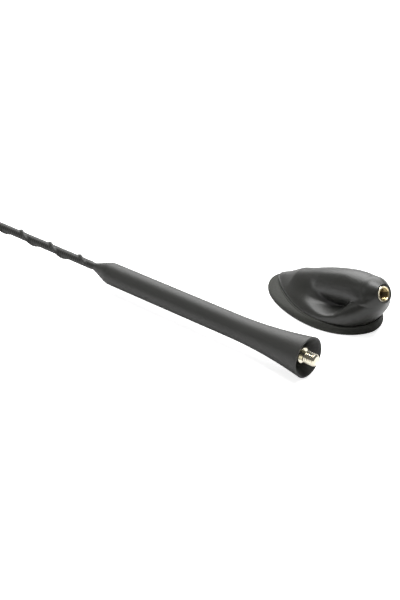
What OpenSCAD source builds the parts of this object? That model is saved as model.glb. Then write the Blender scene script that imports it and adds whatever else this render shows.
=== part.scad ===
// Car roof antenna: a base with a rubber gasket and a whip mast taken off beside it.
// Millimetres. X runs along the base to the mast socket, Z is up from the roof.

/* [Base housing] */
// Half the length of the housing at its lower rim
rim_half_length = 31.75; // [30:0.05:33.5]
// Half the width of the housing at its lower rim
rim_half_width = 17.3; // [16.6:0.1:18]
// How far the rim's middle lies behind the fixing hole
rim_middle = 0.85; // [0.2:0.05:1.5]
// How much wider the rear of the rim is than the front
rim_egg = 0.26; // [0.15:0.01:0.35]
// Height of the flat under the base plate
rim_height = 4; // [3.8:0.1:4.2]
// Slope of the rim towards the front, degrees
rim_slope = 1.4; // [1:0.1:1.6]
// Depth of the moulded wall
wall = 1.9; // [1.7:0.1:2.1]
// Radius of the rounded back of the spine
spine_radius = 9; // [8.6:0.1:9.4]
// How far the rear panel leans out over the gasket
chin_reach = 8.6; // [7.8:0.1:9.2]
// Depth of the hollow in each flank, below the mast line
flank_hollow = 5.9; // [5.2:0.1:6.2]
// Softness of the hollow's lower lip
lip_blend = 0.8; // [0.6:0.1:1.2]

/* [Mast socket] */
// How far the socket's mouth lies behind the fixing hole
mouth_back = 40.2; // [39.6:0.1:40.8]
// Height of the socket's mouth above the roof
mouth_height = 23.4; // [23:0.1:23.8]
// Slope of the mast line above the roof, degrees
mast_slope = 23.5; // [23:0.1:24]
// Radius of the flat at the socket's mouth
mouth_radius = 4.2; // [4.15:0.05:4.4]
// Radius of the boss behind the mouth
boss_radius = 8.2; // [7.9:0.1:8.5]
// Length of the rounded nose of the boss
nose_length = 5.8; // [5.2:0.1:6.4]
// Radius of the brass insert
insert_radius = 3.84; // [3.7:0.02:4]
// Length of the brass insert
insert_length = 14; // [13.6:0.1:14.4]
// Depth of the thread in the insert
insert_depth = 11; // [10:0.1:12]

/* [Gasket] */
// Half the length of the gasket on the roof
gasket_half_length = 35.05; // [34.4:0.05:36]
// Half the width of the gasket on the roof
gasket_half_width = 21.1; // [20.4:0.1:22]
// Width of the sealing lip under the gasket
lip_width = 3.2; // [2.6:0.1:4]
// Height of the recess inside the sealing lip
lip_height = 1.4; // [1:0.1:1.8]

/* [Base plate] */
// Thickness of the cast plate
plate_thickness = 1.4; // [1.2:0.1:1.5]
// Height of the plate's middle rib above the gasket
rib_height = 2.2; // [2:0.1:2.4]
// Radius of the fixing boss
fixing_boss_radius = 5.5; // [5.2:0.1:5.8]
// Depth of the fixing thread
fixing_depth = 8; // [7:0.1:8.4]
// Radius of the lead hole in the plate
lead_hole_radius = 4; // [3.8:0.05:4.1]

/* [Circuit board] */
// Height of the board's underside above the roof
board_height = 10; // [9.8:0.1:10.4]
// Thickness of the board
board_thickness = 1.6; // [1.4:0.1:1.8]
// Width of the board
board_width = 10; // [9:0.1:10.4]

/* [Lead socket] */
// How far the lead socket lies behind the fixing hole
lead_back = 15; // [14.9:0.05:15.1]
// Outer radius of the lead socket's shell
lead_radius = 2.4; // [2.3:0.05:2.5]
// Radius of the hole in the shell
lead_bore = 1.95; // [1.85:0.05:2.05]
// Height of the shell's mouth above the roof
lead_mouth = 1.2; // [1:0.1:1.6]

/* [Mast] */
// Whole length of the mast from its foot's rim to the tip
mast_length = 550; // [535:1:560]
// Radius of the foot's rim
foot_radius = 10; // [9.6:0.05:10.2]
// Depth of the hollow in the foot
foot_hollow = 6.5; // [5.8:0.1:7]
// Length of the flare from the rim to the shank
flare_length = 46; // [44:0.5:48]
// Radius of the shank next to the flare
shank_radius = 5.93; // [5.7:0.01:6.2]
// Radius of the shank at its thin end
shank_end_radius = 5.66; // [5.5:0.01:5.69]
// Length of the boot up to its rounded end
boot_length = 134; // [130:0.5:138]
// Radius of the sheathed rod
rod_radius = 1.92; // [1.85:0.01:2]
// Radius of the glass-fibre core
core_radius = 1.1; // [1:0.02:1.2]
// Thickness of the layer of wire on the core
wire_layer = 0.25; // [0.2:0.01:0.3]
// Radius of the tip cap
tip_radius = 2.8; // [2.6:0.05:2.83]
// Length of the tip cap
tip_length = 13; // [11:0.5:15]

/* [Noise spiral] */
// Height of the spiral's crest above the rod
spiral_height = 0.95; // [0.8:0.01:0.96]
// Distance between two turns of the spiral
spiral_pitch = 21.2; // [20:0.1:23]
// Where the spiral starts, from the foot's rim
spiral_start = 140; // [139:0.5:144]
// Width of the spiral's foot
spiral_width = 3; // [2.4:0.1:3.4]

/* [Mast stud] */
// How far the stud stands out of the foot's rim
stud_reach = 4.8; // [4.4:0.1:5.2]
// Radius of the stud's collar
collar_radius = 3.8; // [3.6:0.05:4]
// Depth of the collar's face inside the rim
collar_depth = 2.8; // [2.5:0.1:3.1]

/* [Mast at rest] */
// Where the foot's rim lies along the base
foot_x = 43.5; // [42:0.1:46]
// Where the foot's rim lies beside the base
foot_y = -50.7; // [-53:0.1:-49]
// Turn of the mast away from the base's length, degrees
mast_turn = 9.8; // [8:0.1:12]

/* [Hidden] */
$fn = 64;
stud_radius = 3;
thread_core = 2.5;
stud_tip = stud_reach;
spine_nose = boss_radius + 0.8;
tip_rise = asin((foot_radius - tip_radius - 0.02) / mast_length);
foot_z = foot_radius * cos(tip_rise);
plate_top = rim_height + plate_thickness;
rib_top = rim_height + rib_height;
board_top = board_height + board_thickness;
winding_radius = core_radius + wire_layer;
front_post = -12;
rear_post = 26.8;
post_radius = 2.2;
screw_head = 2.2;
screw_shank = 1.45;
pillar_front = 8.3;
pillar_rear = 21.7;
cavity_end = 13;
hinge_z = rim_height + 0.6;
hinge_x = mouth_back + (mouth_height - hinge_z) * tan(mast_slope);
outer_rings = 44;
outer_rays = 28;
inner_rings = 18;
inner_rays = 16;

// Soft joins of two surfaces, with k as the width of the blend.
function soft_min(a, b, k) =
  let (h = max(0, min(1, 0.5 + 0.5 * (b - a) / k)))
  b * (1 - h) + a * h - k * h * (1 - h);
function soft_max(a, b, k) = -soft_min(-a, -b, k);

// Height of the crest line of the spine.
function crest(x) = 20 + 0.43 * x - 0.0037 * x * x - 0.012 * pow(max(0, x - 30), 2);

// Height of the sloping rim, where the housing meets the gasket.
function rim_z(x) = hinge_z - (hinge_x - x) * tan(rim_slope);

// Lower front and rear edges of the teardrop at a height above the rim.
function front_edge(h) = rim_middle - rim_half_length + h * (1.9 + 0.02 * h);
function rear_edge(h) =
  rim_middle + rim_half_length
  + chin_reach * (1 - pow(max(0, min(1, 1 - h / 15.4)), 1.6));
function half_width(h) = max(rim_half_width - 0.25 * h - 0.022 * h * h, spine_radius + 0.4);

function share(t, start, reach) = max(0, min(1, (t - start) / reach));

// The teardrop shell, before the flanks are hollowed.
function teardrop(x, a, h) =
  let (
    front = front_edge(h),
    rear = rear_edge(h),
    reach = max((rear - front) / 2, 1),
    width = half_width(h),
    u = (x - (front + rear) / 2) / reach,
    v = a / (width * (1 + rim_egg * max(-1.2, min(1.2, u)))),
    e = u < 0 ? 1.7 : 2.05
  )
  (pow(pow(abs(u), e) + pow(v, e), 1 / e) - 1) * min(width, reach);

// The floor of the flank's hollow, along the mast line and across it.
function hollow_floor(t, a) =
  let (
    rear = soft_min(-0.5, -0.9 - 0.62 * (t - 12), 1.5),
    low = soft_max(rear, -flank_hollow, 2.5)
  )
  soft_max(low, -1.3 + 0.53 * (t - 37.5), 3) + 0.22 * (15 - a) * share(t, 10, 6);

// The spine and the round boss that carries the socket.
function spine(x, y, z, t, d) =
  let (
    start = pow(max(0, min(1.3, 1 - t / nose_length)), 1.6),
    boss_nose = boss_radius - (boss_radius - mouth_radius) * start,
    boss = soft_max(d - boss_nose, (t - 30) * 0.5, 3),
    along = min(x, 40),
    r = spine_radius - 0.16 * max(0, 2 - along),
    middle = crest(along) - r / 0.925,
    back = norm([y, (z - middle) * 0.925]) - r + 1.6 * share(-along, 10, 10),
    top_nose = spine_nose - (spine_nose - mouth_radius) * start,
    top = d - top_nose - 0.3 * max(0, t - nose_length)
  )
  soft_min(soft_max(back, top, 0.8), boss, 1.2);

// Signed depth of a point: below zero inside the housing's outer surface.
function form(x, y, z) =
  let (
    c = cos(mast_slope),
    s = sin(mast_slope),
    t = -((x - mouth_back) * c + (z - mouth_height) * s),
    w = -(x - mouth_back) * s + (z - mouth_height) * c,
    drop = teardrop(x, abs(y), max(0, z - rim_height)),
    d = norm([y, w]),
    lip = lip_blend + 2.4 * share(t, 30, 20),
    side = soft_max(drop, (w - hollow_floor(t, abs(y))) * 0.93, lip),
    skirt = soft_max(side, (d - mouth_radius - 1.3 * t) * 0.61, 1)
  )
  soft_min(skirt, spine(x, y, z, t, d), 0.7 + 2.5 * share(t, 22, 20));

// How far a ray from o along d runs before it leaves the form.
function leave(o, d, depth, low, high, n) =
  n == 0 ? (low + high) / 2 :
  let (
    mid = (low + high) / 2,
    p = o + d * mid
  )
  form(p[0], p[1], p[2]) + depth < 0
    ? leave(o, d, depth, mid, high, n - 1)
    : leave(o, d, depth, low, mid, n - 1);

// One section of the form, in a plane that turns about a hinge behind the housing.
function section_centre(f, back) =
  (mouth_height - hinge_z) / cos(mast_slope) * (back == 0 ? 1 : 0.86)
  + 17 * pow((f - 90 - mast_slope) / (90 + rim_slope - mast_slope), 2.4);
function half_ring(f, back, depth, rays) =
  let (
    o = section_centre(f, back),
    run = back / cos(mast_slope),
    base = [
      hinge_x - run + o * cos(f),
      0,
      hinge_z - run * tan(rim_slope) + o * sin(f)
    ]
  )
  [for (j = [0 : rays])
    let (
      q = 180 * j / rays - 22 * sin(360 * j / rays),
      d = [cos(q) * cos(f), j == rays ? 0 : sin(q), cos(q) * sin(f)]
    )
    base + d * leave(base, d, depth, 0, 75, 17)];
function full_ring(half) =
  let (n = len(half))
  concat(half, [for (j = [n - 2 : -1 : 1]) [half[j][0], -half[j][1], half[j][2]]]);
function skin(back, depth, rings, rays) =
  [for (i = [0 : rings])
    let (f = 180 + rim_slope - (90 + rim_slope - mast_slope) * i / rings)
    full_ring(half_ring(f, back, depth, rays))];

function flat(list) = [for (part = list) for (item = part) item];
function belt(a, b, n) =
  flat([for (j = [0 : n - 1])
    let (k = (j + 1) % n)
    [[a + j, a + k, b + k], [a + j, b + k, b + j]]]);

// A closed body from stacked rings of n points each, with both ends closed flat.
module stacked(rings) {
  n = len(rings[0]);
  m = len(rings);
  walls = flat([for (i = [0 : m - 2]) belt(i * n, (i + 1) * n, n)]);
  low = [[for (j = [n - 1 : -1 : 0]) j]];
  high = [[for (j = [0 : n - 1]) (m - 1) * n + j]];
  polyhedron(points = flat(rings), faces = concat(walls, low, high), convexity = 8);
}

// The housing's shell: outer skin, inner skin and the rim between them.
module shell() {
  outer = skin(0, 0, outer_rings, outer_rays);
  inner = skin(cavity_end, wall, inner_rings, outer_rays);
  n = len(outer[0]);
  m = len(outer);
  k = len(inner);
  points = concat(flat(outer), flat(inner));
  skirt = flat([for (i = [0 : m - 2]) belt(i * n, (i + 1) * n, n)]);
  mouth = [[for (j = [0 : n - 1]) (m - 1) * n + j]];
  start = m * n;
  lining = flat([for (i = [0 : k - 2]) belt(start + (i + 1) * n, start + i * n, n)]);
  inner_end = [[for (j = [n - 1 : -1 : 0]) start + (k - 1) * n + j]];
  rim = belt(start, 0, n);
  polyhedron(points = points, faces = concat(skirt, mouth, lining, inner_end, rim), convexity = 8);
}

module on_mast_line(back = 0) {
  translate([mouth_back, 0, mouth_height])
    rotate([0, 90 - mast_slope, 0])
      translate([0, 0, -back])
        children();
}

module post(x, top) {
  translate([x, 0, rib_top])
    cylinder(r = post_radius, h = top - rib_top);
}

module base_housing() {
  color([0.24, 0.24, 0.24])
  difference() {
    union() {
      shell();
      post(front_post, 11.6);
      post(rear_post, 14.5);
      translate([rear_post + 1, -1.2, rib_top])
        cube([5.4, 2.4, 7.6]);
    }
    on_mast_line(cavity_end + 3)
      cylinder(r = insert_radius, h = cavity_end + 6);
    translate([front_post, 0, rib_top - 1])
      cylinder(r = screw_shank + 0.05, h = 4.4);
    translate([rear_post, 0, rib_top - 1])
      cylinder(r = screw_shank + 0.05, h = 8);
  }
}

function gasket_outline(grow) = [
  for (j = [0 : 63])
    let (
      q = 360 * j / 64,
      s = sin(q),
      c = cos(q)
    )
    [(gasket_half_length + grow) * c,
     (gasket_half_width + grow) * sign(s) * pow(abs(s), 1.15) * (1 + 0.08 * c + 0.12 * c * c)]];

function egg_outline(mid, reach, width, grow) = [
  for (j = [0 : 63])
    let (
      q = 360 * j / 64,
      e = cos(q) < 0 ? 1.7 : 2.05,
      u = sign(cos(q)) * pow(abs(cos(q)), 2 / e),
      v = sign(sin(q)) * pow(abs(sin(q)), 2 / e)
    )
    [mid + (reach + grow) * u, (width + grow) * v * (1 + rim_egg * u)]];

function lift(outline, z) = [for (p = outline) [p[0], p[1], z]];
function on_rim(outline, drop) = [for (p = outline) [p[0], p[1], rim_z(p[0]) - drop]];

module base_gasket() {
  color([0.17, 0.17, 0.17])
  difference() {
    stacked([
      lift(gasket_outline(-lip_width - 0.4), lip_height),
      lift(gasket_outline(-lip_width), 0),
      lift(gasket_outline(-0.5), 0),
      lift(gasket_outline(0), 0.5),
      on_rim(gasket_outline(-0.8), 1.4),
      on_rim(egg_outline(rim_middle, rim_half_length, rim_half_width, 0.9), 0.3),
      on_rim(egg_outline(rim_middle, rim_half_length, rim_half_width, 0.5), 0),
      on_rim(egg_outline(3.4, 26.3, 14, 0.5), 0),
      lift(egg_outline(3.4, 26.3, 14, 0.2), rim_height)
    ]);
    translate([0, 0, -1])
      cylinder(r = 10, h = 7);
    translate([lead_back, 0, -1])
      cylinder(r = lead_hole_radius + 0.8, h = 7);
  }
}

module mast_socket_insert() {
  color([0.72, 0.62, 0.4])
  on_mast_line(insert_length)
    difference() {
      union() {
        cylinder(r = insert_radius, h = insert_length);
      }
      translate([0, 0, insert_length - insert_depth])
        cylinder(r = thread_core, h = insert_depth + 1);
      translate([0, 0, insert_length - 0.6])
        cylinder(r1 = thread_core, r2 = thread_core + 0.7, h = 0.61);
    }
}

module base_plate() {
  color([0.62, 0.63, 0.64])
  difference() {
    union() {
      translate([0, 0, rim_height])
        linear_extrude(height = plate_thickness)
          polygon(egg_outline(3.4, 26.3, 14, 0));
      translate([-16.4, -6.2, rim_height])
        cube([rear_post + 16.4 + 2.6, 12.4, rib_height]);
      cylinder(r = fixing_boss_radius, h = 9.2);
      translate([pillar_front, 0, rim_height])
        cylinder(r = 2.2, h = board_height - rim_height);
      translate([pillar_rear, 0, rim_height])
        cylinder(r = 2.2, h = board_height - rim_height);
    }
    translate([0, 0, -1])
      cylinder(r = thread_core, h = fixing_depth + 1);
    translate([lead_back, 0, rim_height - 1])
      cylinder(r = lead_hole_radius, h = 6);
    for (x = [front_post, rear_post]) {
      translate([x, 0, rim_height - 1])
        cylinder(r = screw_head + 0.1, h = 2.4);
      translate([x, 0, rim_height - 1])
        cylinder(r = screw_shank + 0.15, h = 6);
    }
    for (x = [pillar_front, pillar_rear])
      translate([x, 0, board_height - 4])
        cylinder(r = 1.15, h = 5);
  }
}

module earth_ring() {
  color([0.66, 0.66, 0.62])
  difference() {
    cylinder(r = 9.4, h = 0.9);
    translate([0, 0, -1])
      cylinder(r = fixing_boss_radius + 0.05, h = 3);
    for (q = [15 : 30 : 345])
      rotate([0, 0, q])
        translate([8.2, -0.45, -1])
          cube([3, 0.9, 3]);
  }
}

module plate_screw(x, length) {
  color([0.6, 0.6, 0.6])
  translate([x, 0, rim_height])
    difference() {
      union() {
        cylinder(r = screw_head, h = 1.3);
        cylinder(r = screw_shank, h = length);
      }
      translate([0, 0, -1])
        cylinder(r = 1.1, h = 1.8, $fn = 6);
    }
}

module front_screw() {
  plate_screw(front_post, 5);
}

module rear_screw() {
  plate_screw(rear_post, 8);
}

module circuit_board() {
  color([0.1, 0.32, 0.16])
  difference() {
    translate([-4, -board_width / 2, board_height])
      cube([27.6, board_width, board_thickness]);
    for (x = [pillar_front, pillar_rear])
      translate([x, 0, board_height - 1])
        cylinder(r = 1.3, h = 5);
    translate([lead_back, 0, board_height - 1])
      cylinder(r = 0.55, h = 5);
  }
}

module board_screw(x) {
  color([0.62, 0.62, 0.6])
  difference() {
    union() {
      translate([x, 0, board_top])
        cylinder(r = 1.9, h = 1.2);
      translate([x, 0, board_height - 3.6])
        cylinder(r = 1.1, h = board_thickness + 4.2);
    }
    translate([x - 1.3, -0.25, board_top + 0.7])
      cube([2.6, 0.5, 2]);
  }
}

module board_screw_front() {
  board_screw(pillar_front);
}

module board_screw_rear() {
  board_screw(pillar_rear);
}

module shield_can() {
  color([0.7, 0.7, 0.68])
  difference() {
    translate([-3.4, -4.2, board_top])
      cube([9, 8.4, 2.6]);
    translate([-3.1, -3.9, board_top - 1])
      cube([8.4, 7.8, 3.3]);
  }
}

module matching_coil() {
  color([0.7, 0.36, 0.16])
  translate([13, 0, board_top + 2])
    rotate([90, 0, 0])
      difference() {
        translate([0, 0, -1.5])
          cylinder(r = 2, h = 3);
        translate([0, 0, -2])
          cylinder(r = 0.9, h = 4);
      }
}

// A strip of spring brass from the insert's inner end down to the board.
module feed_strap() {
  end_x = mouth_back - (insert_length + 0.25) * cos(mast_slope);
  end_z = mouth_height - (insert_length + 0.25) * sin(mast_slope);
  up = [-sin(mast_slope) * 2.6, cos(mast_slope) * 2.6];
  low = board_top + 0.25;
  line = [
    [end_x + up[0], end_z + up[1]],
    [end_x - up[0], end_z - up[1]],
    [22.2, low + 2.4],
    [19, low],
    [16.6, low]
  ];
  color([0.75, 0.6, 0.34])
  rotate([90, 0, 0])
    linear_extrude(height = 3.2, center = true)
      polygon(concat(
        [for (i = [0 : 4]) line[i] + strap_side(line, i) * 0.24],
        [for (i = [4 : -1 : 0]) line[i] - strap_side(line, i) * 0.24]
      ));
}

function strap_side(line, i) =
  let (
    a = line[max(0, i - 1)],
    b = line[i],
    c = line[min(len(line) - 1, i + 1)],
    d1 = i == 0 ? (c - b) / norm(c - b) : (b - a) / norm(b - a),
    d2 = i == len(line) - 1 ? d1 : (c - b) / norm(c - b),
    m = (d1 + d2) / norm(d1 + d2)
  )
  [-m[1], m[0]] / (m * d1);

module lead_shell() {
  color([0.74, 0.63, 0.38])
  translate([lead_back, 0, lead_mouth])
    difference() {
      union() {
        cylinder(r = lead_radius, h = board_height - lead_mouth);
        translate([0, 0, board_height - lead_mouth - 1.2])
          cylinder(r = 3.1, h = 1.2);
      }
      translate([0, 0, -1])
        cylinder(r = lead_bore, h = 20);
    }
}

module lead_insulator() {
  color([0.9, 0.9, 0.86])
  translate([lead_back, 0, 5])
    difference() {
      cylinder(r = lead_bore, h = board_height - 5);
      translate([0, 0, -1])
        cylinder(r = 0.5, h = 20);
    }
}

module lead_pin() {
  color([0.8, 0.66, 0.36])
  translate([lead_back, 0, 2])
    cylinder(r = 0.5, h = board_top + 0.4 - 2);
}

module on_mast() {
  translate([foot_x, foot_y, foot_z])
    rotate([0, 90 - tip_rise, mast_turn])
      children();
}

// The moulded boot: flared foot, long shank and rounded thin end.
module mast_boot() {
  rise = foot_radius - shank_radius;
  sweep = (flare_length * flare_length + rise * rise) / (2 * rise);
  flare = [for (i = [0 : 16])
    let (z = flare_length * i / 16)
    [shank_radius + sweep - sqrt(sweep * sweep - pow(flare_length - z, 2)), -z]];
  close = boot_length - 12;
  thin = rod_radius + 0.2;
  cap = [for (i = [0 : 12])
    let (q = i / 12)
    [thin + (shank_end_radius - thin) * (1 - pow(q, 1.9)) / (1 + 0.9 * q * q),
     -close - 12 * q]];
  color([0.2, 0.2, 0.2])
  on_mast()
    rotate_extrude()
      polygon(concat(
        flare,
        cap,
        [[rod_radius, -boot_length],
         [rod_radius, -50],
         [3.5, -50],
         [3.5, -foot_hollow - 0.2],
         [collar_radius + 0.4, -foot_hollow],
         [foot_radius - 0.8, 0]]
      ));
}

module mast_stud() {
  color([0.78, 0.7, 0.5])
  on_mast()
    rotate_extrude()
      polygon([
        [0, stud_tip],
        [stud_radius - 0.8, stud_tip],
        [stud_radius, stud_tip - 0.8],
        [stud_radius, -collar_depth + 1.2],
        [2.4, -collar_depth + 1],
        [2.4, -collar_depth],
        [collar_radius - 0.2, -collar_depth],
        [collar_radius, -collar_depth - 0.2],
        [collar_radius, -5.6],
        [2.4, -5.6],
        [2.4, -24],
        [0, -24]
      ]);
}

module mast_ferrule() {
  color([0.7, 0.6, 0.42])
  on_mast()
    rotate_extrude()
      polygon([
        [2.4, -foot_hollow - 0.2],
        [3.5, -foot_hollow - 0.2],
        [3.5, -50],
        [winding_radius, -50],
        [winding_radius, -24.2],
        [2.4, -24.2]
      ]);
}

module mast_core() {
  color([0.86, 0.85, 0.78])
  on_mast()
    translate([0, 0, -mast_length + 4])
      cylinder(r = core_radius, h = mast_length - 34);
}

module mast_winding() {
  color([0.72, 0.4, 0.2])
  on_mast()
    translate([0, 0, -mast_length + 6])
      difference() {
        cylinder(r = winding_radius, h = mast_length - 36);
        translate([0, 0, -1])
          cylinder(r = core_radius, h = mast_length);
      }
}

module mast_sheath() {
  color([0.18, 0.18, 0.18])
  on_mast()
    translate([0, 0, -mast_length + 4])
      difference() {
        cylinder(r = rod_radius, h = mast_length - 54);
        translate([0, 0, -1])
          cylinder(r = winding_radius, h = mast_length);
      }
}

// The raised spiral that keeps the mast from whistling.
module noise_spiral() {
  step = 11;
  turns = (mast_length - tip_length - 1.5 - spiral_start) / spiral_pitch;
  count = floor(turns * step);
  rings = [for (i = [0 : count])
    let (
      z = -spiral_start - spiral_pitch * i / step,
      q = 360 * i / step + 67,
      fade = min(1, i / 3, (count - i) / 3),
      top = rod_radius + 0.3 + (spiral_height - 0.3) * fade,
      lean = spiral_pitch / 12
    )
    [for (p = [
        [-1, rod_radius * 1.045],
        [-0.42, rod_radius + (top - rod_radius) * 0.72],
        [0, top],
        [0.42, rod_radius + (top - rod_radius) * 0.72],
        [1, rod_radius * 1.045]
      ])
      [p[1] * cos(q), p[1] * sin(q), z - p[0] * spiral_width / 2]]];
  color([0.16, 0.16, 0.16])
  on_mast()
    stacked(rings);
}

module tip_cap() {
  color([0.17, 0.17, 0.17])
  on_mast()
    rotate_extrude()
      polygon(concat(
        [[0, -mast_length]],
        [for (i = [1 : 8])
          let (q = 90 * i / 8)
          [tip_radius * sin(q), -mast_length + tip_radius * (1 - cos(q))]],
        [[tip_radius, -mast_length + tip_length - 1],
         [tip_radius - 0.6, -mast_length + tip_length],
         [rod_radius, -mast_length + tip_length],
         [rod_radius, -mast_length + 4],
         [0, -mast_length + 4]]
      ));
}

base_housing();
base_gasket();
mast_socket_insert();
base_plate();
earth_ring();
front_screw();
rear_screw();
circuit_board();
board_screw_front();
board_screw_rear();
shield_can();
matching_coil();
feed_strap();
lead_shell();
lead_insulator();
lead_pin();
mast_boot();
mast_stud();
mast_ferrule();
mast_core();
mast_winding();
mast_sheath();
noise_spiral();
tip_cap();
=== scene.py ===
import bpy, bmesh, math
import numpy as np
from mathutils import Vector, Matrix


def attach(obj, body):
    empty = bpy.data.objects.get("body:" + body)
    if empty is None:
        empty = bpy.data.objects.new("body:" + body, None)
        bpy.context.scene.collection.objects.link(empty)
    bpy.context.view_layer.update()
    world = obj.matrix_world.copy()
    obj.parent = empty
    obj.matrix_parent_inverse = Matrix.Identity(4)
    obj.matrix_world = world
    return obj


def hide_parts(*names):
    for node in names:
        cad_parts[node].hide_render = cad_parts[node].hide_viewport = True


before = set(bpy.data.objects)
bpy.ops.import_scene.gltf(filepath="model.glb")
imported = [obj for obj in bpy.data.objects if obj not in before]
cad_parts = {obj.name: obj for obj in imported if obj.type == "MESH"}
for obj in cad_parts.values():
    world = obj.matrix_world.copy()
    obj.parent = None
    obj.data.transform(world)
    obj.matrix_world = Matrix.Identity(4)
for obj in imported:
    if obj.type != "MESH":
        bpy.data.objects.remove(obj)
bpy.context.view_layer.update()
mm = 0.001
print("frame loaded")

# camera at the photograph's angle
shot = {"place": (0.51347, -0.50058, 0.42102), "look": (-0.04105, -0.04509, 0.0), "lens": 101.1}
camData = bpy.data.cameras.new("shotCamera")
camData.lens = shot["lens"]
camData.sensor_width = 36
camData.clip_start, camData.clip_end = 0.01, 20
cam = bpy.data.objects.new("shotCamera", camData)
bpy.context.scene.collection.objects.link(cam)
cam.location = shot["place"]
cam.rotation_mode = "QUATERNION"
cam.rotation_quaternion = (Vector(shot["look"]) - Vector(shot["place"])).to_track_quat("-Z", "Y")
bpy.context.scene.camera = cam
bpy.context.scene.view_settings.view_transform = "Standard"


def finishPiece(bm, name, nodes=(), sharp=35, weld=1e-6):
    if weld:
        bmesh.ops.remove_doubles(bm, verts=bm.verts, dist=weld)
    bmesh.ops.recalc_face_normals(bm, faces=bm.faces)
    for f in bm.faces:
        f.smooth = True
    limit = math.radians(sharp)
    for e in bm.edges:
        e.smooth = len(e.link_faces) == 2 and e.calc_face_angle(0) < limit
    mesh = bpy.data.meshes.new(name)
    bm.to_mesh(mesh)
    bm.free()
    piece = bpy.data.objects.new(name, mesh)
    bpy.context.scene.collection.objects.link(piece)
    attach(piece, "root")
    if nodes:
        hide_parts(*nodes)
    return piece


def mergedCopy(node, sharp=30):
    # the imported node's loose triangles, joined so that curved walls shade smooth
    bm = bmesh.new()
    bm.from_mesh(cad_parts[node].data)
    bmesh.ops.remove_doubles(bm, verts=bm.verts, dist=2e-6)
    return finishPiece(bm, node + "Skin", (node,), sharp, weld=0)


def firstRing(bm, points):
    verts = [bm.verts.new(p) for p in points]
    return verts, [bm.edges.new((verts[i], verts[(i + 1) % len(verts)])) for i in range(len(verts))]


def nextRing(bm, verts, edges, points):
    made = bmesh.ops.extrude_edge_only(bm, edges=edges)["geom"]
    fresh = set(made)
    out = []
    for old in verts:
        out.append(next(e.other_vert(old) for e in old.link_edges if e.other_vert(old) in fresh))
    for v, p in zip(out, points):
        v.co = p
    inRing = set(out)
    ringEdges = [e for e in made if isinstance(e, bmesh.types.BMEdge)
                 and e.verts[0] in inRing and e.verts[1] in inRing]
    return out, ringEdges


def loftRings(rings, closeLow=False, closeHigh=False, around=False):
    # rings of points in millimetres, each drawn out of the one before
    bm = bmesh.new()
    verts, edges = firstRing(bm, [Vector(p) * mm for p in rings[0]])
    start = list(edges)
    if closeLow:
        bm.faces.new(verts)
    for ring in rings[1:]:
        verts, edges = nextRing(bm, verts, edges, [Vector(p) * mm for p in ring])
    if closeHigh:
        bm.faces.new(verts)
    if around:
        bmesh.ops.bridge_loops(bm, edges=start + edges)
    return bm


def turned(profile, place, sides=72, closed=False):
    # a profile of radius and height, spun round its axis and set in place
    bm = bmesh.new()
    verts = [bm.verts.new((r * mm, 0, z * mm)) for r, z in profile]
    pairs = list(zip(verts, verts[1:])) + ([(verts[-1], verts[0])] if closed else [])
    edges = [bm.edges.new(p) for p in pairs]
    bmesh.ops.spin(bm, geom=verts + edges, cent=(0, 0, 0), axis=(0, 0, 1), dvec=(0, 0, 0),
                   angle=2 * math.pi, steps=sides, use_merge=True, use_duplicate=False)
    bmesh.ops.remove_doubles(bm, verts=bm.verts, dist=1e-7)
    bmesh.ops.transform(bm, matrix=place, verts=bm.verts)
    return bm


def levelRings(levels, place, sides):
    # each level is a height and a radius, or a radius as a function of the angle
    angle = 2 * math.pi * np.arange(sides) / sides
    rings = []
    for z, r in levels:
        r = r(angle) if callable(r) else np.full(sides, float(r))
        local = [Vector((a * math.cos(q), a * math.sin(q), z)) for a, q in zip(r, angle)]
        rings.append([place @ (p * mm) / mm for p in local])
    return rings


def threadLevels(low, high, core, crest, pitch, steps, limit=None):
    # one turn of a V thread with blunt crests, as radius over angle at each height
    count = int(round((high - low) / pitch * steps))
    levels = []
    for k in range(count + 1):
        z = low + (high - low) * k / count
        ends = min(1, (z - low) / 0.5, (high - z) / 0.5)

        def radius(angle, z=z, ends=ends):
            wave = 1 - np.abs(2 * np.mod(z / pitch - angle / (2 * math.pi), 1) - 1)
            r = core + (crest - core) * np.clip(1.3 * wave - 0.15, 0, 1)
            r = core + (r - core) * max(0, ends)
            return np.minimum(r, limit(z)) if limit else r

        levels.append((z, radius))
    return levels


# the mast lies on the rim of its foot and on its tip
mast = {"length": 550.0, "footRadius": 10.0, "tipRadius": 2.8, "rodRadius": 1.92,
        "footX": 43.5, "footY": -50.7, "heading": 9.8, "tipLift": 0.02}
restAngle = math.asin((mast["footRadius"] - mast["tipRadius"] - mast["tipLift"]) / mast["length"])
mastPlace = (Matrix.Translation((mast["footX"] * mm, mast["footY"] * mm,
                                 mast["footRadius"] * mm * math.cos(restAngle)))
             @ Matrix.Rotation(math.radians(mast["heading"]), 4, "Z")
             @ Matrix.Rotation(math.radians(90) - restAngle, 4, "Y"))

# base housing: one field for the teardrop, its flank hollows, the spine and the round boss
housing = {
    "rimHalfLength": 31.75, "rimHalfWidth": 17.3, "rimMiddle": 0.85, "rimEgg": 0.26, "rimHeight": 4.0,
    "hingeRise": 0.6, "rimSlope": 1.4, "wall": 1.9, "spineRadius": 9.0, "chinReach": 8.6,
    "flankHollow": 5.9, "lipBlend": 0.8, "mouthBack": 40.2, "mouthHeight": 23.4, "mastSlope": 23.5,
    "mouthRadius": 4.2, "bossRadius": 7.8, "spineNose": 8.6, "noseLength": 5.8, "topLength": 7.4,
    "cavityEnd": 13, "insertRadius": 3.86, "grooveRadius": 4.04, "grooveDepth": 0.6,
    "postPlaces": (-12, 26.8), "postTops": (11.6, 14.5), "postRadius": 2.2, "postFoot": 6.2,
    "rings": 190, "innerRings": 30, "rays": 130, "rayShift": 22, "rayReach": 75.0, "fanReach": 17,
    "halvings": 22,
}
slope = math.radians(housing["mastSlope"])
slopeCos, slopeSin = math.cos(slope), math.sin(slope)
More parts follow.
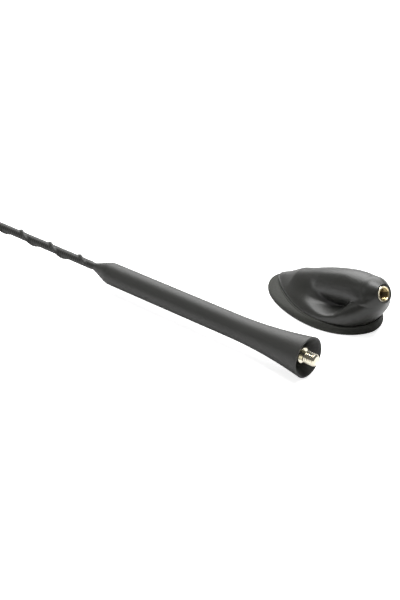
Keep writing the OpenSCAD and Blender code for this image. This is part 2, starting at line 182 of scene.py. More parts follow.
socketPlace = (Matrix.Translation((housing["mouthBack"] * mm, 0, housing["mouthHeight"] * mm))
               @ Matrix.Rotation(math.radians(90) - slope, 4, "Y"))


def softMin(a, b, k):
    h = np.clip(0.5 + 0.5 * (b - a) / k, 0, 1)
    return b * (1 - h) + a * h - k * h * (1 - h)


def softMax(a, b, k):
    return -softMin(-a, -b, k)


def crestHeight(x):
    return 20 + 0.43 * x - 0.0037 * x * x - 0.012 * np.maximum(0, x - 30) ** 2


def hingePoint(s=housing):
    # where the rim's line meets the mouth's plane, and about which the planes of the rings turn
    z = s["rimHeight"] + s["hingeRise"]
    return s["mouthBack"] + (s["mouthHeight"] - z) / slopeCos * slopeSin, z


def rimHeightAt(x, s=housing):
    hingeX, hingeZ = hingePoint(s)
    return hingeZ - (hingeX - x) * math.tan(math.radians(s["rimSlope"]))


def housingForm(p, s=housing):
    # t runs back from the mouth along the mast line, w is the height over that line, d the distance to it
    x, y, z = p[..., 0], np.abs(p[..., 1]), p[..., 2]
    t = -((x - s["mouthBack"]) * slopeCos + (z - s["mouthHeight"]) * slopeSin)
    w = -(x - s["mouthBack"]) * slopeSin + (z - s["mouthHeight"]) * slopeCos
    d = np.hypot(y, w)
    # spine and boss
    start = np.clip(1 - t / s["noseLength"], 0, 1.3) ** 1.6
    boss = softMax(d - s["bossRadius"] + (s["bossRadius"] - s["mouthRadius"]) * start, (t - 30) * 0.5, 3)
    along = np.minimum(x, 40)
    r = s["spineRadius"] - 0.16 * np.maximum(0, 2 - along)
    middle = crestHeight(along) - r / 0.925
    back = np.hypot(y, (z - middle) * 0.925) - r + 3.0 * np.clip((-16 - along) / 9, 0, 1)
    topStart = np.clip(1 - t / s["topLength"], 0, 1.3) ** 1.6
    topNose = s["spineNose"] - (s["spineNose"] - s["mouthRadius"]) * topStart
    spine = softMin(softMax(back, d - topNose - 0.3 * np.maximum(0, t - s["topLength"]), 0.8), boss, 1.2)
    # teardrop skirt
    h = np.maximum(0, z - s["rimHeight"])
    front = s["rimMiddle"] - s["rimHalfLength"] + h * (1.9 + 0.02 * h)
    rear = s["rimMiddle"] + s["rimHalfLength"] + s["chinReach"] * (1 - np.clip(1 - h / 15.4, 0, 1) ** 1.6)
    width = np.maximum(s["rimHalfWidth"] - 0.25 * h - 0.022 * h * h, s["spineRadius"] + 0.9)
    reach = np.maximum((rear - front) / 2, 1)
    u = (x - (front + rear) / 2) / reach
    v = y / (width * (1 + s["rimEgg"] * np.clip(u, -1.2, 1.2)))
    e = np.where(u < 0, 1.7, 2.05 + 0.2 * np.clip(h / 14, 0, 1))
    drop = ((np.abs(u) ** e + v**e) ** (1 / e) - 1) * np.minimum(width, reach)
    # hollow in the flank
    floor = softMin(np.full_like(t, -0.5), -0.9 - 0.62 * (t - 12), 1.5)
    floor = softMax(floor, np.full_like(t, -s["flankHollow"]), 2.5)
    floor = softMax(floor, -1.3 + 0.53 * (t - 37.5), 3) + 0.22 * (15 - y) * np.clip((t - 10) / 6, 0, 1)
    skirt = softMax(drop, (w - floor) * 0.93, s["lipBlend"] + 2.6 * np.clip((t - 28) / 18, 0, 1)
                    + 1.5 * np.clip((24 - t) / 8, 0, 1))
    skirt = softMax(skirt, (d - s["mouthRadius"] - 1.3 * t) * 0.61, 1.0)
    return softMin(skirt, spine, 0.7 + 5.5 * np.clip((t - 24) / 20, 0, 1))


def rayTurns(s=housing):
    # turns round a ring, closer together where it is nearest to the hinge and farthest from it
    j = np.arange(2 * s["rays"]) / (2 * s["rays"])
    return 2 * math.pi * j - math.radians(s["rayShift"]) * np.sin(4 * math.pi * j)


def housingRings(depth, endBack, rings, s=housing):
    # rings from the rim to the mouth, on planes that turn about the hinge, a depth inside the field's surface
    back = endBack / slopeCos
    hingeX, hingeZ = hingePoint(s)
    reach = (s["mouthHeight"] - hingeZ) / slopeCos * (0.86 if endBack else 1)
    hingeX, hingeZ = hingeX - back, hingeZ - back * math.tan(math.radians(s["rimSlope"]))
    first, last = 180 + s["rimSlope"], 90 + s["mastSlope"]
    f = np.radians(first + (last - first) * np.arange(rings + 1) / rings)[:, None]
    share = (f - math.radians(last)) / math.radians(first - last)
    o = reach + s["fanReach"] * share**2.4
    q = rayTurns(s)[None, :]
    base = np.stack([hingeX + o * np.cos(f) + 0 * q, 0 * f * q, hingeZ + o * np.sin(f) + 0 * q], -1)
    way = np.stack([np.cos(q) * np.cos(f), np.sin(q) + 0 * f, np.cos(q) * np.sin(f)], -1)
    low, high = np.zeros(base.shape[:2]), np.full(base.shape[:2], s["rayReach"])
    for k in range(s["halvings"]):
        mid = (low + high) / 2
        inside = housingForm(base + way * mid[..., None]) + depth < 0
        low, high = np.where(inside, mid, low), np.where(inside, high, mid)
    return base + way * high[..., None]


def boreRing(radius, back, s=housing):
    q = rayTurns(s)
    up = np.array([-slopeSin, 0, slopeCos])
    middle = np.array([s["mouthBack"] - back * slopeCos, 0, s["mouthHeight"] - back * slopeSin])
    return middle + radius * (np.cos(q)[:, None] * up + np.sin(q)[:, None] * np.array([0, 1, 0]))


outer = housingRings(0, 0, housing["rings"])
inner = housingRings(housing["wall"], housing["cavityEnd"], housing["innerRings"])
# the bore starts with a fine groove round the insert
groove, fitted = housing["grooveRadius"], housing["insertRadius"]
bore = [boreRing(groove + 0.1, 0), boreRing(groove + 0.02, 0.1),
        boreRing(groove, housing["grooveDepth"] - 0.05), boreRing(fitted, housing["grooveDepth"]),
        boreRing(fitted, housing["cavityEnd"])]
bm = loftRings([list(r) for r in (*inner[::-1], *outer, *bore)], around=True)
postRadius = housing["postRadius"] * mm
for x, top in zip(housing["postPlaces"], housing["postTops"]):
    tall = (top - housing["postFoot"]) * mm
    middle = Matrix.Translation((x * mm, 0, (top + housing["postFoot"]) / 2 * mm))
    bmesh.ops.create_cone(bm, cap_ends=True, segments=32, radius1=postRadius, radius2=postRadius, depth=tall,
                          matrix=middle)
housingPiece = finishPiece(bm, "housingShell", ("base_housing",), sharp=50)
print("housing made", len(housingPiece.data.polygons))

# gasket: rounded rubber edge, sealing lip and recess, open round the fixing boss and the lead socket
gasket = {"halfLength": 35.05, "halfWidth": 21.1, "lipWidth": 3.2, "lipHeight": 1.4, "edgeDrop": 1.4,
          "topDrop": 0.3, "bulge": 0.16, "seatMiddle": 3.4, "seatHalfLength": 26.3, "seatHalfWidth": 14,
          "bossHole": 10.0, "leadHole": 4.8, "leadBack": 15.0, "points": 160, "slopeSteps": 8,
          "holePoints": 64}


def gasketOutline(grow, s=gasket):
    q = 2 * math.pi * np.arange(s["points"]) / s["points"]
    c, n = np.cos(q), np.sin(q)
    egg = 1 + 0.08 * c + 0.12 * c * c
    return np.stack([(s["halfLength"] + grow) * c,
                     (s["halfWidth"] + grow) * np.sign(n) * np.abs(n) ** 1.15 * egg], -1)


def eggOutline(mid, reach, width, grow, s=gasket):
    q = 2 * math.pi * np.arange(s["points"]) / s["points"]
    e = np.where(np.cos(q) < -1e-9, 1.7, 2.05)
    u = np.sign(np.cos(q)) * np.abs(np.cos(q)) ** (2 / e)
    v = np.sign(np.sin(q)) * np.abs(np.sin(q)) ** (2 / e)
    return np.stack([mid + (reach + grow) * u, (width + grow) * v * (1 + housing["rimEgg"] * u)], -1)


def lifted(outline, z):
    return [(p[0], p[1], z) for p in outline]


def onRim(outline, drop):
    return [(p[0], p[1], rimHeightAt(p[0]) - drop) for p in outline]


rimEgg = (housing["rimMiddle"], housing["rimHalfLength"], housing["rimHalfWidth"])
plateSeat = (gasket["seatMiddle"], gasket["seatHalfLength"], gasket["seatHalfWidth"])
low, top = gasketOutline(-0.8), eggOutline(*rimEgg, 0.9)
slopeRings = []
for k in range(1, gasket["slopeSteps"]):
    a = k / gasket["slopeSteps"]
    drop = gasket["edgeDrop"] * (1 - a) + gasket["topDrop"] * a - gasket["bulge"] * math.sin(math.pi * a)
    slopeRings.append(onRim(low * (1 - a) + top * a, drop))
gasketRings = [
    lifted(gasketOutline(-gasket["lipWidth"] - 0.4), gasket["lipHeight"]),
    lifted(gasketOutline(-gasket["lipWidth"] - 0.06), 0.1),
    lifted(gasketOutline(-gasket["lipWidth"] + 0.1), 0),
    lifted(gasketOutline(-0.6), 0), lifted(gasketOutline(-0.3), 0.1), lifted(gasketOutline(-0.05), 0.4),
    lifted(gasketOutline(0), 0.7), lifted(gasketOutline(-0.1), 1.0),
    onRim(low, gasket["edgeDrop"]), *slopeRings, onRim(top, gasket["topDrop"]),
    onRim(eggOutline(*rimEgg, 0.84), 0.12), onRim(eggOutline(*rimEgg, 0.68), 0.02),
    onRim(eggOutline(*rimEgg, 0.5), 0), onRim(eggOutline(*plateSeat, 0.5), 0),
    lifted(eggOutline(*plateSeat, 0.2), housing["rimHeight"]),
]
bm = bmesh.new()
verts, lowEdges = firstRing(bm, [Vector(p) * mm for p in gasketRings[0]])
edges = lowEdges
for ring in gasketRings[1:]:
    verts, edges = nextRing(bm, verts, edges, [Vector(p) * mm for p in ring])
highEdges = edges
holesLow, holesHigh = [], []
for x, radius in ((0, gasket["bossHole"]), (gasket["leadBack"], gasket["leadHole"])):
    angles = [2 * math.pi * i / gasket["holePoints"] for i in range(gasket["holePoints"])]
    circle = [(x + radius * math.cos(q), radius * math.sin(q)) for q in angles]
    ringVerts, ringEdges = firstRing(bm, [Vector(p) * mm for p in lifted(circle, gasket["lipHeight"])])
    holesLow += ringEdges
    raised = [Vector(p) * mm for p in lifted(circle, housing["rimHeight"])]
    ringVerts, ringEdges = nextRing(bm, ringVerts, ringEdges, raised)
    holesHigh += ringEdges
bmesh.ops.triangle_fill(bm, use_beauty=True, use_dissolve=False, edges=lowEdges + holesLow)
bmesh.ops.triangle_fill(bm, use_beauty=True, use_dissolve=False, edges=highEdges + holesHigh)
gasketPiece = finishPiece(bm, "gasketBody", ("base_gasket",), sharp=40)
print("gasket made", len(gasketPiece.data.polygons))

# brass insert with its inner thread
insert = {"radius": 3.84, "length": 14, "depth": 11, "core": 2.5, "crest": 3.0, "pitch": 1.0, "mouth": 3.22,
          "innerZone": 3.16, "sides": 64}
levels = [(-insert["length"], 0.3), (-insert["length"], insert["radius"]), (-0.12, insert["radius"]),
          (0, insert["radius"] - 0.12), (0, insert["mouth"]), (-0.05, insert["mouth"] - 0.1), (-0.4, 2.8)]
innerThread = threadLevels(-insert["depth"] + 0.6, -0.42, insert["core"], insert["crest"],
                           insert["pitch"], 10)
levels += innerThread[::-1]
levels += [(-insert["depth"], insert["core"]), (-insert["depth"] - 0.01, 0.3)]
bm = loftRings(levelRings(levels, socketPlace, insert["sides"]), closeLow=True, closeHigh=True)
socketMiddle = socketPlace.inverted()
for f in bm.faces:
    place = socketMiddle @ f.calc_center_median()
    if math.hypot(place.x, place.y) < insert["innerZone"] * mm and place.z > -(insert["depth"] + 0.5) * mm:
        f.material_index = 1
insertPiece = finishPiece(bm, "socketInsert", ("mast_socket_insert",), sharp=32)

# threaded stud: chamfered tip, runout, notched collar and shank in the ferrule
stud = {"reach": 4.8, "core": 2.52, "crest": 3.0, "pitch": 1.0, "runout": 1.6, "collar": 3.8, "depth": 2.8,
        "collarBack": 5.6, "shank": 2.4, "shankEnd": 24, "notch": 1.25, "notchBack": 4.42, "notchTurn": 35,
        "notchHalfTurn": 0.30, "notchSide": 0.06, "sides": 72}


def notched(radius, s=stud):
    def ring(angle):
        turn = np.abs(np.mod(angle - math.radians(s["notchTurn"]) + math.pi / 2, math.pi) - math.pi / 2)
        return radius - s["notch"] * np.clip((s["notchHalfTurn"] - turn) / s["notchSide"], 0, 1)
    return ring


levels = [(-stud["shankEnd"], 0.3), (-stud["shankEnd"], stud["shank"]), (-stud["collarBack"], stud["shank"]),
          (-stud["collarBack"], stud["collar"]), (-stud["notchBack"] - 0.08, stud["collar"]),
          (-stud["notchBack"], notched(stud["collar"])), (-stud["depth"] - 0.25, notched(stud["collar"])),
          (-stud["depth"] - 0.06, notched(stud["collar"] - 0.08)),
          (-stud["depth"], notched(stud["collar"] - 0.25)), (-stud["depth"], stud["shank"]),
          (-stud["runout"] - 0.25, stud["shank"]),
          (-stud["runout"] - 0.05, stud["core"])]
levels += threadLevels(-stud["runout"], stud["reach"] - 0.05, stud["core"], stud["crest"], stud["pitch"], 10,
                       lambda z: 2.25 + (stud["reach"] - z) * 0.95)
levels += [(stud["reach"], 2.2), (stud["reach"], 0.25)]
bm = loftRings(levelRings(levels, mastPlace, stud["sides"]), closeLow=True, closeHigh=True)
studPiece = finishPiece(bm, "mastStud", ("mast_stud",), sharp=32)
print("brass parts made")

# boot: flared foot with a thin sharp rim, long shank and rounded thin end
boot = {"hollow": 6.5, "hollowFloor": 4.2, "lipInner": 9.2, "flare": 46.0, "shank": 5.93, "shankEnd": 5.66,
        "length": 134.0, "endLength": 12.0, "rodStart": 50.0, "ferrule": 3.5}
foot = mast["footRadius"]
rise = foot - boot["shank"]
sweep = (boot["flare"] ** 2 + rise**2) / (2 * rise)
profile = [(boot["lipInner"], 0.0), (boot["lipInner"] + 0.14, 0.05), (foot - 0.1, 0.03), (foot - 0.01, -0.05)]
profile += [(boot["shank"] + sweep - math.sqrt(sweep**2 - (boot["flare"] - z) ** 2), -z)
            for z in [boot["flare"] * i / 40 for i in range(41)] if z > 0.1]
endStart = boot["length"] - boot["endLength"]
profile += [(boot["shank"] + (boot["shankEnd"] - boot["shank"]) * q,
             -boot["flare"] - (endStart - boot["flare"]) * q)
            for q in [i / 12 for i in range(1, 12)]]
thin = mast["rodRadius"] + 0.2
profile += [(thin + (boot["shankEnd"] - thin) * (1 - q**1.9) / (1 + 0.9 * q * q),
             -endStart - boot["endLength"] * q)
            for q in [i / 26 for i in range(27)]]
profile += [(mast["rodRadius"], -boot["length"]), (mast["rodRadius"], -boot["rodStart"]),
            (boot["ferrule"], -boot["rodStart"]), (boot["ferrule"], -boot["hollow"] - 0.2),
            (boot["hollowFloor"], -boot["hollow"])]
profile += [(boot["hollowFloor"] + (boot["lipInner"] - boot["hollowFloor"]) * q,
             -boot["hollow"] * (1 - q) ** 1.08)
            for q in [i / 14 for i in range(1, 14)]]
bm = turned(profile, mastPlace, 96, closed=True)
bootPiece = finishPiece(bm, "mastBoot", ("mast_boot",), sharp=38)

# sheath: the rod's cover, drawn smoothly over the spiral ridge
sheath = {"start": 141.0, "end": 534.5, "pitch": 21.2, "height": 0.95, "spread": 2.3, "turn": 142.2,
          "crossing": 188.7, "rib": 0.12, "ribPitch": 1.35, "ribStart": 137.0, "ribEnd": 536.0, "bore": 1.36,
          "inBoot": 50.0, "inCap": 546.0, "step": 0.27, "sides": 32}


def sheathRadius(back, s=sheath):
    def ring(angle):
        turns = (s["crossing"] - back) / s["pitch"] + (math.radians(s["turn"]) - angle) / (2 * math.pi)
        off = np.abs(turns - np.round(turns)) * s["pitch"]
        fade = max(0.0, min(1.0, (back - s["start"] + 3) / 3.5, (s["end"] - back) / 3))
        ridge = 0.5 + 0.5 * np.cos(math.pi * np.clip(off / s["spread"], 0, 1))
        rib = s["rib"] * (0.7 + math.sin(-2 * math.pi * back / s["ribPitch"]))
        return mast["rodRadius"] + rib * (1 - 0.6 * fade * ridge) + s["height"] * fade * ridge
    return ring


ribbed = sheath["ribEnd"] - sheath["ribStart"]
count = int(ribbed / sheath["step"])
stations = [sheath["ribStart"] + ribbed * k / count for k in range(count + 1)]
levels = [(-sheath["inBoot"], sheath["bore"]), (-sheath["inBoot"], mast["rodRadius"]),
          (-120, mast["rodRadius"]), (-sheath["ribStart"] + 1, mast["rodRadius"])]
levels += [(-back, sheathRadius(back)) for back in stations]
levels += [(-sheath["inCap"], mast["rodRadius"]), (-sheath["inCap"], sheath["bore"])]
bm = loftRings(levelRings(levels, mastPlace, sheath["sides"]), around=True)
sheathPiece = finishPiece(bm, "mastSheath", ("mast_sheath", "noise_spiral"), sharp=60)
print("sheath made", len(sheathPiece.data.polygons))

# tip cap with a rounded end and a small moulded collar
tip = {"radius": mast["tipRadius"], "length": 13.0, "seat": 4.0}
tipBack, tipFloor = tip["length"] - mast["length"], tip["seat"] - mast["length"]
profile = [(tip["radius"] * math.sin(q), -mast["length"] + tip["radius"] * (1 - math.cos(q)))
           for q in [math.pi / 2 * i / 20 for i in range(21)]]
profile += [(tip["radius"], tipBack - 1.0), (tip["radius"] - 0.18, tipBack - 0.5),
            (tip["radius"] - 0.6, tipBack), (mast["rodRadius"], tipBack),
            (mast["rodRadius"], tipFloor), (0, tipFloor)]
tipPiece = finishPiece(turned(profile, mastPlace, 48), "tipCap", ("tip_cap",), sharp=38)

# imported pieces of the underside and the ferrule, joined for smooth shading
copies = {name: mergedCopy(name) for name, slotName in (
    ("base_plate", "plate_zinc"), ("earth_ring", "ring_steel"), ("lead_shell", "lead_brass"),
    ("lead_insulator", "white_plastic"), ("lead_pin", "lead_brass"), ("mast_ferrule", "insert_brass"))}
print("pieces made")


def nodeGroup(name, inputs, outputs):
    tree = bpy.data.node_groups.new(name, "ShaderNodeTree")
    for kind, names in (("INPUT", inputs), ("OUTPUT", outputs)):
        for label, socketType, value in names:
            item = tree.interface.new_socket(label, in_out=kind, socket_type="NodeSocket" + socketType)
            if value is not None:
                item.default_value = value
    return tree, tree.nodes.new("NodeGroupInput"), tree.nodes.new("NodeGroupOutput")


def mathNode(tree, operation, a, b=None, clamp=False):
    node = tree.nodes.new("ShaderNodeMath")
    node.operation = operation
    node.use_clamp = clamp
    for i, value in enumerate((a, b)):
        if value is None:
            continue
        if isinstance(value, (int, float)):
            node.inputs[i].default_value = value
        else:
            tree.links.new(value, node.inputs[i])
    return node.outputs[0]


def noiseNode(tree, vector, scale, detail=2.0, rough=0.5):
    node = tree.nodes.new("ShaderNodeTexNoise")
    tree.links.new(vector, node.inputs["Vector"])
    if isinstance(scale, (int, float)):
        node.inputs["Scale"].default_value = scale
    else:
        tree.links.new(scale, node.inputs["Scale"])
    node.inputs["Detail"].default_value = detail
    node.inputs["Roughness"].default_value = rough
    return node.outputs["Fac"]


# moulded grain: fine pits, a slow blotch and a height for the bump
grainGroup, gin, gout = nodeGroup(
    "mouldGrain",
    [("Vector", "Vector", None), ("Pit Scale", "Float", 3000.0), ("Blotch Scale", "Float", 60.0)],
    [("Pits", "Float", None), ("Blotch", "Float", None), ("Height", "Float", None)])
pits = noiseNode(grainGroup, gin.outputs["Vector"], gin.outputs["Pit Scale"], 3.0, 0.6)
blotch = noiseNode(grainGroup, gin.outputs["Vector"], gin.outputs["Blotch Scale"], 4.0, 0.55)
cells = grainGroup.nodes.new("ShaderNodeTexVoronoi")
grainGroup.links.new(gin.outputs["Vector"], cells.inputs["Vector"])
grainGroup.links.new(mathNode(grainGroup, "MULTIPLY", gin.outputs["Pit Scale"], 0.55), cells.inputs["Scale"])
height = mathNode(grainGroup, "ADD", mathNode(grainGroup, "MULTIPLY", pits, 0.6),
                  mathNode(grainGroup, "MULTIPLY", cells.outputs["Distance"], 0.4))
grainGroup.links.new(pits, gout.inputs["Pits"])
grainGroup.links.new(blotch, gout.inputs["Blotch"])
grainGroup.links.new(height, gout.inputs["Height"])

# ribs or turning marks that follow an axis
ribGroup, gin, gout = nodeGroup(
    "axisRibs",
    [("Vector", "Vector", None), ("Axis", "Vector", (0, 0, 1)), ("Pitch", "Float", 0.001),
     ("Shift", "Float", 0.0), ("Unevenness", "Float", 0.3)],
    [("Groove", "Float", None), ("Height", "Float", None)])
dot = ribGroup.nodes.new("ShaderNodeVectorMath")
dot.operation = "DOT_PRODUCT"
ribGroup.links.new(gin.outputs["Vector"], dot.inputs[0])
ribGroup.links.new(gin.outputs["Axis"], dot.inputs[1])
phase = mathNode(ribGroup, "DIVIDE", dot.outputs["Value"], gin.outputs["Pitch"])
phase = mathNode(ribGroup, "ADD", phase, gin.outputs["Shift"])
wobble = noiseNode(ribGroup, gin.outputs["Vector"], 900.0, 2.0)
phase = mathNode(ribGroup, "ADD", phase, mathNode(ribGroup, "MULTIPLY", wobble, gin.outputs["Unevenness"]))
wave = mathNode(ribGroup, "SINE", mathNode(ribGroup, "MULTIPLY", phase, 2 * math.pi))
wave = mathNode(ribGroup, "ADD", mathNode(ribGroup, "MULTIPLY", wave, 0.5), 0.5)
valley = mathNode(ribGroup, "POWER", mathNode(ribGroup, "SUBTRACT", 1.0, wave), 3.0)
ribGroup.links.new(valley, gout.inputs["Groove"])
ribGroup.links.new(wave, gout.inputs["Height"])

# a round mask at one place, for a near-black spot of painted shade in a small dimple
spotGroup, gin, gout = nodeGroup(
    "roundSpot",
    [("Vector", "Vector", None), ("Place", "Vector", (0, 0, 0)), ("Radius", "Float", 0.001),
     ("Softness", "Float", 0.3)],
    [("Mask", "Float", None)])
gap = spotGroup.nodes.new("ShaderNodeVectorMath")
gap.operation = "DISTANCE"
spotGroup.links.new(gin.outputs["Vector"], gap.inputs[0])
spotGroup.links.new(gin.outputs["Place"], gap.inputs[1])
ratio = mathNode(spotGroup, "DIVIDE", gap.outputs["Value"], gin.outputs["Radius"])
inside = mathNode(spotGroup, "SUBTRACT", 1.0, ratio)
mask = mathNode(spotGroup, "DIVIDE", inside, gin.outputs["Softness"], clamp=True)
spotGroup.links.new(mask, gout.inputs["Mask"])


def newMaterial(name):
    mat = bpy.data.materials.new(name)
    mat.use_nodes = True
    tree = mat.node_tree
    coords = tree.nodes.new("ShaderNodeTexCoord")
    return mat, tree, tree.nodes["Principled BSDF"], coords.outputs["Object"]


def useGroup(tree, group, vector, **values):
    node = tree.nodes.new("ShaderNodeGroup")
    node.node_tree = group
    tree.links.new(vector, node.inputs["Vector"])
    for label, value in values.items():
        node.inputs[label.replace("_", " ")].default_value = value
    return node


def mixColour(tree, factor, dark, light):
    node = tree.nodes.new("ShaderNodeMix")
    node.data_type = "RGBA"
    tree.links.new(factor, node.inputs[0])
    for socket, value in ((node.inputs[6], dark), (node.inputs[7], light)):
        if isinstance(value, tuple):
            socket.default_value = (*value, 1)
        else:
            tree.links.new(value, socket)
    return node.outputs[2]


def ranged(tree, value, low, high):
    node = tree.nodes.new("ShaderNodeMapRange")
    tree.links.new(value, node.inputs["Value"])
    node.inputs["To Min"].default_value = low
    node.inputs["To Max"].default_value = high
    return node.outputs["Result"]


def bumped(tree, shader, height, depth, before=None):
    node = tree.nodes.new("ShaderNodeBump")
    node.inputs["Distance"].default_value = depth
    node.inputs["Strength"].default_value = 1.0
    tree.links.new(height, node.inputs["Height"])
    if before is not None:
        tree.links.new(before, node.inputs["Normal"])
    tree.links.new(node.outputs["Normal"], shader.inputs["Normal"])
    return node.outputs["Normal"]


def mouldedMaterial(name, dark, light, rough, depth, pitScale=2600.0, blotchScale=55.0, coat=0.0, shine=0.5,
                    ribs=None, spot=None):
    mat, tree, shader, coords = newMaterial(name)
    grain = useGroup(tree, grainGroup, coords, Pit_Scale=pitScale, Blotch_Scale=blotchScale)
    blend = mathNode(tree, "ADD", mathNode(tree, "MULTIPLY", grain.outputs["Pits"], 0.45),
                     mathNode(tree, "MULTIPLY", grain.outputs["Blotch"], 0.55))
    colour = mixColour(tree, blend, dark, light)
    normal = bumped(tree, shader, grain.outputs["Height"], depth)
    if ribs:
        rib = useGroup(tree, ribGroup, coords, Axis=ribs["axis"], Pitch=ribs["pitch"], Shift=ribs["shift"],
                       Unevenness=ribs["uneven"])
        # the rib grooves are mixed towards a near-black colour: painted shade in the grooves
        grooveShade = mathNode(tree, "MULTIPLY", rib.outputs["Groove"], 0.85)
        colour = mixColour(tree, grooveShade, colour, ribs["grooveShade"])
        bumped(tree, shader, rib.outputs["Height"], ribs["depth"], normal)
    # a round spot mixed to near-black: painted shade standing in for a small dimple
    if spot:
        mark = useGroup(tree, spotGroup, coords, Place=spot["place"], Radius=spot["radius"], Softness=0.35)
        colour = mixColour(tree, mark.outputs["Mask"], colour, (0.004, 0.004, 0.004))
    tree.links.new(colour, shader.inputs["Base Color"])
    tree.links.new(ranged(tree, blend, rough[0], rough[1]), shader.inputs["Roughness"])
    shader.inputs["Specular IOR Level"].default_value = shine
    shader.inputs["Coat Weight"].default_value = coat
    shader.inputs["Coat Roughness"].default_value = 0.22
    return mat


def metalMaterial(name, dark, light, rough, axis, pitch=0.00028, depth=0.000006, blotchScale=420.0,
                  tarnish=0.5):
    mat, tree, shader, coords = newMaterial(name)
    grain = useGroup(tree, grainGroup, coords, Pit_Scale=6000.0, Blotch_Scale=blotchScale)
    lines = useGroup(tree, ribGroup, coords, Axis=axis, Pitch=pitch, Unevenness=1.6)
    blend = mathNode(tree, "MULTIPLY", ranged(tree, grain.outputs["Blotch"], -0.4, 1.4), tarnish, clamp=True)
    colour = mixColour(tree, blend, light, dark)
    tree.links.new(colour, shader.inputs["Base Color"])
    tree.links.new(ranged(tree, blend, rough[0], rough[1]), shader.inputs["Roughness"])
    shader.inputs["Metallic"].default_value = 1.0
    bumped(tree, shader, lines.outputs["Height"], depth)
    return mat


def threadMaterial(name, axis, mouth):
    # brass seen down a threaded hole: gold crests, brown roots as painted shade, and painted shade that grows
    # darker with depth
    mat, tree, shader, coords = newMaterial(name)
    lines = useGroup(tree, ribGroup, coords, Axis=axis, Pitch=0.001, Unevenness=0.25)
    grain = useGroup(tree, grainGroup, coords, Pit_Scale=5000.0, Blotch_Scale=500.0)
    dot = tree.nodes.new("ShaderNodeVectorMath")
    dot.operation = "DOT_PRODUCT"
    tree.links.new(coords, dot.inputs[0])
    dot.inputs[1].default_value = axis
    # painted shade: the colour goes to near-black with distance in from the mouth
    fromMouth = mathNode(tree, "SUBTRACT", mouth, dot.outputs["Value"])
    depth = mathNode(tree, "DIVIDE", fromMouth, 0.0075, clamp=True)
    # the thread roots get a brown painted shade
    gold = mixColour(tree, lines.outputs["Groove"], (0.80, 0.66, 0.35), (0.14, 0.09, 0.035))
    tree.links.new(mixColour(tree, depth, gold, (0.05, 0.032, 0.012)), shader.inputs["Base Color"])
    tree.links.new(ranged(tree, grain.outputs["Blotch"], 0.16, 0.34), shader.inputs["Roughness"])
    shader.inputs["Metallic"].default_value = 1.0
    bumped(tree, shader, grain.outputs["Height"], 0.000004)
    return mat


mastAxis = tuple(mastPlace.to_3x3() @ Vector((0, 0, 1)))
socketAxis = tuple(socketPlace.to_3x3() @ Vector((0, 0, 1)))
upright, across = (0, 0, 1), (0, 1, 0)
# spot of painted shade for a small dimple on the housing
dimpleShadeSpot = {"place": (0.0398, 0.0, 0.0145), "radius": 0.0009}
ribPitch = sheath["ribPitch"] * mm
# fine ribs along the rod; their grooves are darkened with painted shade
rodRibs = {"axis": mastAxis, "pitch": ribPitch, "uneven": 0.1, "depth": 0.00005,
           "grooveShade": (0.012, 0.012, 0.011),
           "shift": -Vector(mastAxis).dot(mastPlace.translation) / ribPitch % 1}
socketMouth = Vector(socketAxis).dot(socketPlace.translation)
look = {mat.name: mat for mat in (
    mouldedMaterial("housingPlastic", (0.012, 0.0123, 0.0102), (0.022, 0.0225, 0.0195), (0.34, 0.46), 0.00005,
                    1500.0, 45.0, coat=0.1, spot=dimpleShadeSpot),
    mouldedMaterial("gasketRubber", (0.02, 0.0207, 0.0172), (0.042, 0.0432, 0.0372), (0.62, 0.82), 0.00014,
                    1300.0, 60.0, shine=0.28),
    mouldedMaterial("bootRubber", (0.016, 0.0163, 0.0142), (0.028, 0.0286, 0.0255), (0.42, 0.56), 0.00002,
                    2400.0, 50.0),
    mouldedMaterial("sheathRubber", (0.014, 0.0143, 0.0125), (0.03, 0.0306, 0.0272), (0.42, 0.6), 0.00003,
                    1800.0, 120.0, ribs=rodRibs),
    metalMaterial("insertBrass", (0.5, 0.38, 0.18), (0.92, 0.87, 0.72), (0.14, 0.26), socketAxis,
                  tarnish=0.4),
    threadMaterial("insertThread", socketAxis, socketMouth),
    metalMaterial("studBrass", (0.42, 0.33, 0.16), (0.93, 0.9, 0.77), (0.12, 0.24), mastAxis, tarnish=0.42),
    metalMaterial("plateZinc", (0.30, 0.31, 0.32), (0.58, 0.59, 0.60), (0.42, 0.6), upright, 0.0007, 0.000004,
                  180.0),
    metalMaterial("screwSteel", (0.42, 0.42, 0.41), (0.7, 0.7, 0.69), (0.25, 0.4), upright),
    metalMaterial("leadBrass", (0.5, 0.38, 0.16), (0.86, 0.74, 0.46), (0.2, 0.34), upright),
    metalMaterial("coilCopper", (0.42, 0.16, 0.06), (0.8, 0.42, 0.24), (0.22, 0.36), across, 0.0005, 0.00006),
    metalMaterial("canTin", (0.5, 0.5, 0.48), (0.78, 0.78, 0.76), (0.28, 0.42), upright),
    mouldedMaterial("boardLaminate", (0.01, 0.07, 0.025), (0.03, 0.14, 0.05), (0.3, 0.45), 0.00001,
                    3000.0, 90.0),
    mouldedMaterial("whitePlastic", (0.62, 0.61, 0.57), (0.76, 0.75, 0.71), (0.35, 0.5), 0.00001),
    mouldedMaterial("coreGlass", (0.42, 0.41, 0.33), (0.6, 0.59, 0.5), (0.4, 0.6), 0.00002, 2200.0, 300.0),
)}
finish = {
    "housingPlastic": [housingPiece], "gasketRubber": [gasketPiece], "bootRubber": [bootPiece, tipPiece],
    "sheathRubber": [sheathPiece], "studBrass": [studPiece],
    "insertBrass": [insertPiece, copies["mast_ferrule"]],
    "plateZinc": [copies["base_plate"]], "screwSteel": [copies["earth_ring"]],
    "leadBrass": [copies["lead_shell"], copies["lead_pin"]], "whitePlastic": [copies["lead_insulator"]],
}
for key, pieces in finish.items():
    for piece in pieces:
        piece.data.materials.append(look[key])
insertPiece.data.materials.append(look["insertThread"])
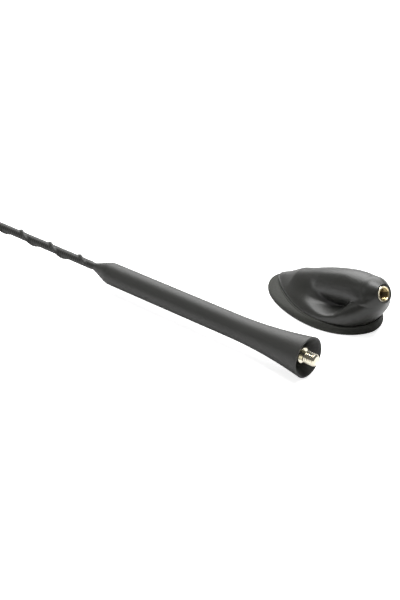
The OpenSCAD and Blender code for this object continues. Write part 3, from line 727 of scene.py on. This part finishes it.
nodeFinish = {
    "base_housing": "housingPlastic", "base_gasket": "gasketRubber", "mast_boot": "bootRubber",
    "tip_cap": "bootRubber",
    "mast_sheath": "sheathRubber", "noise_spiral": "sheathRubber", "mast_socket_insert": "insertBrass",
    "mast_stud": "studBrass", "mast_ferrule": "insertBrass", "base_plate": "plateZinc",
    "earth_ring": "screwSteel",
    "front_screw": "screwSteel", "rear_screw": "screwSteel", "board_screw_front": "screwSteel",
    "board_screw_rear": "screwSteel", "circuit_board": "boardLaminate", "shield_can": "canTin",
    "matching_coil": "coilCopper", "mast_winding": "coilCopper", "feed_strap": "leadBrass",
    "lead_shell": "leadBrass",
    "lead_pin": "leadBrass", "lead_insulator": "whitePlastic", "mast_core": "coreGlass",
}
for name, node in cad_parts.items():
    mat = look[nodeFinish[name]]
    for i in range(len(node.data.materials)):
        node.data.materials[i] = mat
    if not node.data.materials:
        node.data.materials.append(mat)
print("materials made")

# floor, world and lamps
studio = {"floorSize": 6.0, "topPower": 20.0, "backPower": 22.0, "sidePower": 1.0,
          "world": 0.16, "floorGlow": 0.8}
bm = bmesh.new()
bmesh.ops.create_grid(bm, x_segments=1, y_segments=1, size=studio["floorSize"] / 2)
bmesh.ops.translate(bm, verts=bm.verts, vec=(0, 0, -0.0002))
mesh = bpy.data.meshes.new("studioFloor")
bm.to_mesh(mesh)
bm.free()
floorPiece = bpy.data.objects.new("studioFloor", mesh)
bpy.context.scene.collection.objects.link(floorPiece)
floorMat, tree, shader, coords = newMaterial("studioFloor")
shader.inputs["Base Color"].default_value = (0.86, 0.86, 0.86, 1)
shader.inputs["Roughness"].default_value = 0.8
shader.inputs["Specular IOR Level"].default_value = 0.0
shader.inputs["Emission Color"].default_value = (1, 1, 1, 1)
rays = tree.nodes.new("ShaderNodeLightPath")
glow = mathNode(tree, "MULTIPLY", rays.outputs["Is Camera Ray"], studio["floorGlow"])
tree.links.new(glow, shader.inputs["Emission Strength"])
mesh.materials.append(floorMat)

world = bpy.data.worlds.new("studio")
bpy.context.scene.world = world
world.use_nodes = True
world.node_tree.nodes["Background"].inputs["Color"].default_value = (1, 1, 1, 1)
rays = world.node_tree.nodes.new("ShaderNodeLightPath")
world.node_tree.links.new(mathNode(world.node_tree, "ADD", rays.outputs["Is Camera Ray"], studio["world"]),
                          world.node_tree.nodes["Background"].inputs["Strength"])


def softLamp(name, place, aim, size, power):
    data = bpy.data.lights.new(name, "AREA")
    data.shape = "RECTANGLE"
    data.size, data.size_y = size
    data.energy = power
    lamp = bpy.data.objects.new(name, data)
    bpy.context.scene.collection.objects.link(lamp)
    lamp.location = place
    lamp.rotation_mode = "QUATERNION"
    lamp.rotation_quaternion = (Vector(aim) - Vector(place)).to_track_quat("-Z", "Y")


softLamp("topLamp", (-0.1, 0.15, 1.25), (-0.02, -0.02, 0), (0.9, 0.7), studio["topPower"])
softLamp("backLamp", (-0.9, 0.75, 0.85), (-0.02, -0.02, 0), (1.5, 1.1), studio["backPower"])
softLamp("sideLamp", (-0.5, -0.95, 0.6), (0, -0.03, 0), (0.6, 0.4), studio["sidePower"])
